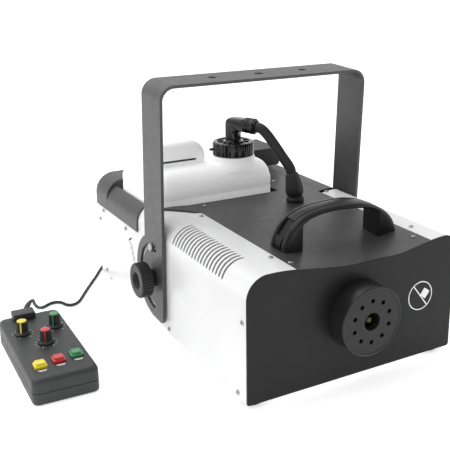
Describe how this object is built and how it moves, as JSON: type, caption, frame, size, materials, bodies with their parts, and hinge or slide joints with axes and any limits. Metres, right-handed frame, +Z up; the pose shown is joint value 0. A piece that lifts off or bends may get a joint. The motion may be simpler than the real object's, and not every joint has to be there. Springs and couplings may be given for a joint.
{
  "type": "stage fog machine",
  "caption": "Stage fog machine in a black and white steel case with a tilting yoke, top handle, lift-out fluid tank, round nozzle guard and wired hand remote.",
  "frame": {"origin": "under the middle of the bounding box of the case and its remote, on the floor", "axes": "+Z up, the nozzle points along -Y, the wired remote lies beside the case on -X"},
  "size_m": [0.535, 0.5637, 0.3448],
  "materials": {
    "white_paint": "satin powder coat",
    "black_paint": "semi-gloss powder coat",
    "yoke_paint": "satin powder coat",
    "tank_plastic": "translucent white moulding",
    "black_plastic": "glossy",
    "matte_black_plastic": "fine texture",
    "rubber": "matte",
    "steel": "zinc plated",
    "brass": "machined",
    "aluminium": "cast",
    "grey_plastic": "fine texture",
    "yellow_plastic": "glossy",
    "green_plastic": "glossy",
    "red_plastic": "glossy",
    "board": "solder mask"
  },
  "bodies": {
    "root": {"base_tray": "white_paint", "front_panel": "black_paint", "top_cover": "black_paint", "front_cover_left": "white_paint", "front_cover_right": "white_paint", "rear_side_left": "white_paint", "rear_side_right": "white_paint", "rear_shoulder_left": "black_paint", "rear_cover": "black_paint", "rear_panel": "black_paint", "tank_well": "black_paint", "fluid_hose": "rubber", "hose_gland": "black_plastic", "carry_handle": "matte_black_plastic", "receiver_housing": "matte_black_plastic", "foot_front_left": "rubber", "foot_front_right": "rubber", "foot_rear_left": "rubber", "foot_rear_right": "rubber", "nozzle_guard": "black_paint", "nozzle_tip": "brass", "heater_block": "aluminium", "heater_stand": "steel", "pump_body": "steel", "feed_tube": "brass", "power_relay": "matte_black_plastic", "control_board": "board", "yoke_bush_left": "steel", "yoke_bush_right": "steel", "guide_screw_left": "steel", "guide_screw_right": "steel", "switch_frame": "matte_black_plastic", "mains_inlet": "matte_black_plastic", "fuse_cap": "matte_black_plastic", "dmx_in": "steel", "dmx_out": "steel", "display_panel": "matte_black_plastic", "remote_socket": "steel", "remote_base": "grey_plastic", "remote_lid": "grey_plastic", "remote_strain_relief": "rubber", "remote_plug": "rubber", "remote_cord": "rubber"},
    "yoke": {"yoke": "yoke_paint"},
    "knob_left": {"knob_left": "matte_black_plastic"},
    "knob_right": {"knob_right": "matte_black_plastic"},
    "tank": {"tank": "tank_plastic", "cap_elbow": "black_plastic"},
    "tank_cap": {"tank_cap": "black_plastic"},
    "power_rocker": {"power_rocker": "red_plastic"},
    "menu_button_1": {"menu_button_1": "rubber"},
    "menu_button_2": {"menu_button_2": "rubber"},
    "menu_button_3": {"menu_button_3": "rubber"},
    "menu_button_4": {"menu_button_4": "rubber"},
    "timer_knob_yellow": {"timer_knob_yellow": "yellow_plastic"},
    "timer_knob_green": {"timer_knob_green": "green_plastic"},
    "timer_knob_red": {"timer_knob_red": "red_plastic"},
    "remote_button_yellow": {"remote_button_yellow": "yellow_plastic"},
    "remote_button_red": {"remote_button_red": "red_plastic"},
    "remote_button_green": {"remote_button_green": "green_plastic"}
  },
  "joints": [
    {"name": "yoke_tilt", "type": "hinge", "parent": "root", "child": "yoke", "pos_m": [0.08626, 0.01305, 0.08], "axis": [1, 0, 0], "range_deg": [-2, 58]},
    {"name": "knob_left_turn", "type": "hinge", "parent": "root", "child": "knob_left", "pos_m": [-0.07374, 0.01305, 0.08], "axis": [1, 0, 0], "continuous": true},
    {"name": "knob_right_turn", "type": "hinge", "parent": "root", "child": "knob_right", "pos_m": [0.24626, 0.01305, 0.08], "axis": [1, 0, 0], "continuous": true},
    {"name": "tank_lift", "type": "slide", "parent": "root", "child": "tank", "axis": [0, 0, 1], "range_m": [0, 0.03], "deforming": ["fluid_hose"]},
    {"name": "cap_turn", "type": "hinge", "parent": "tank", "child": "tank_cap", "pos_m": [0.09226, 0.08505, 0.215], "axis": [0, 0, 1], "continuous": true},
    {"name": "power_rock", "type": "hinge", "parent": "root", "child": "power_rocker", "pos_m": [0.19126, 0.25275, 0.086], "axis": [1, 0, 0], "range_deg": [-7, 7]},
    {"name": "menu_press_1", "type": "slide", "parent": "root", "child": "menu_button_1", "axis": [0, -1, 0], "range_m": [0, 0.0012], "stiffness_N_per_m": 200},
    {"name": "menu_press_2", "type": "slide", "parent": "root", "child": "menu_button_2", "axis": [0, -1, 0], "range_m": [0, 0.0012], "stiffness_N_per_m": 200},
    {"name": "menu_press_3", "type": "slide", "parent": "root", "child": "menu_button_3", "axis": [0, -1, 0], "range_m": [0, 0.0012], "stiffness_N_per_m": 200},
    {"name": "menu_press_4", "type": "slide", "parent": "root", "child": "menu_button_4", "axis": [0, -1, 0], "range_m": [0, 0.0012], "stiffness_N_per_m": 200},
    {"name": "timer_turn_yellow", "type": "hinge", "parent": "root", "child": "timer_knob_yellow", "pos_m": [-0.24428, 0.03031, 0.033], "axis": [0, 0, 1], "range_deg": [-140, 140]},
    {"name": "timer_turn_green", "type": "hinge", "parent": "root", "child": "timer_knob_green", "pos_m": [-0.20222, 0.03134, 0.033], "axis": [0, 0, 1], "range_deg": [-140, 140]},
    {"name": "timer_turn_red", "type": "hinge", "parent": "root", "child": "timer_knob_red", "pos_m": [-0.22533, -0.00858, 0.033], "axis": [0, 0, 1], "range_deg": [-140, 140]},
    {"name": "remote_press_yellow", "type": "slide", "parent": "root", "child": "remote_button_yellow", "axis": [0, 0, -1], "range_m": [0, 0.002], "stiffness_N_per_m": 300},
    {"name": "remote_press_red", "type": "slide", "parent": "root", "child": "remote_button_red", "axis": [0, 0, -1], "range_m": [0, 0.002], "stiffness_N_per_m": 300},
    {"name": "remote_press_green", "type": "slide", "parent": "root", "child": "remote_button_green", "axis": [0, 0, -1], "range_m": [0, 0.002], "stiffness_N_per_m": 300}
  ]
}
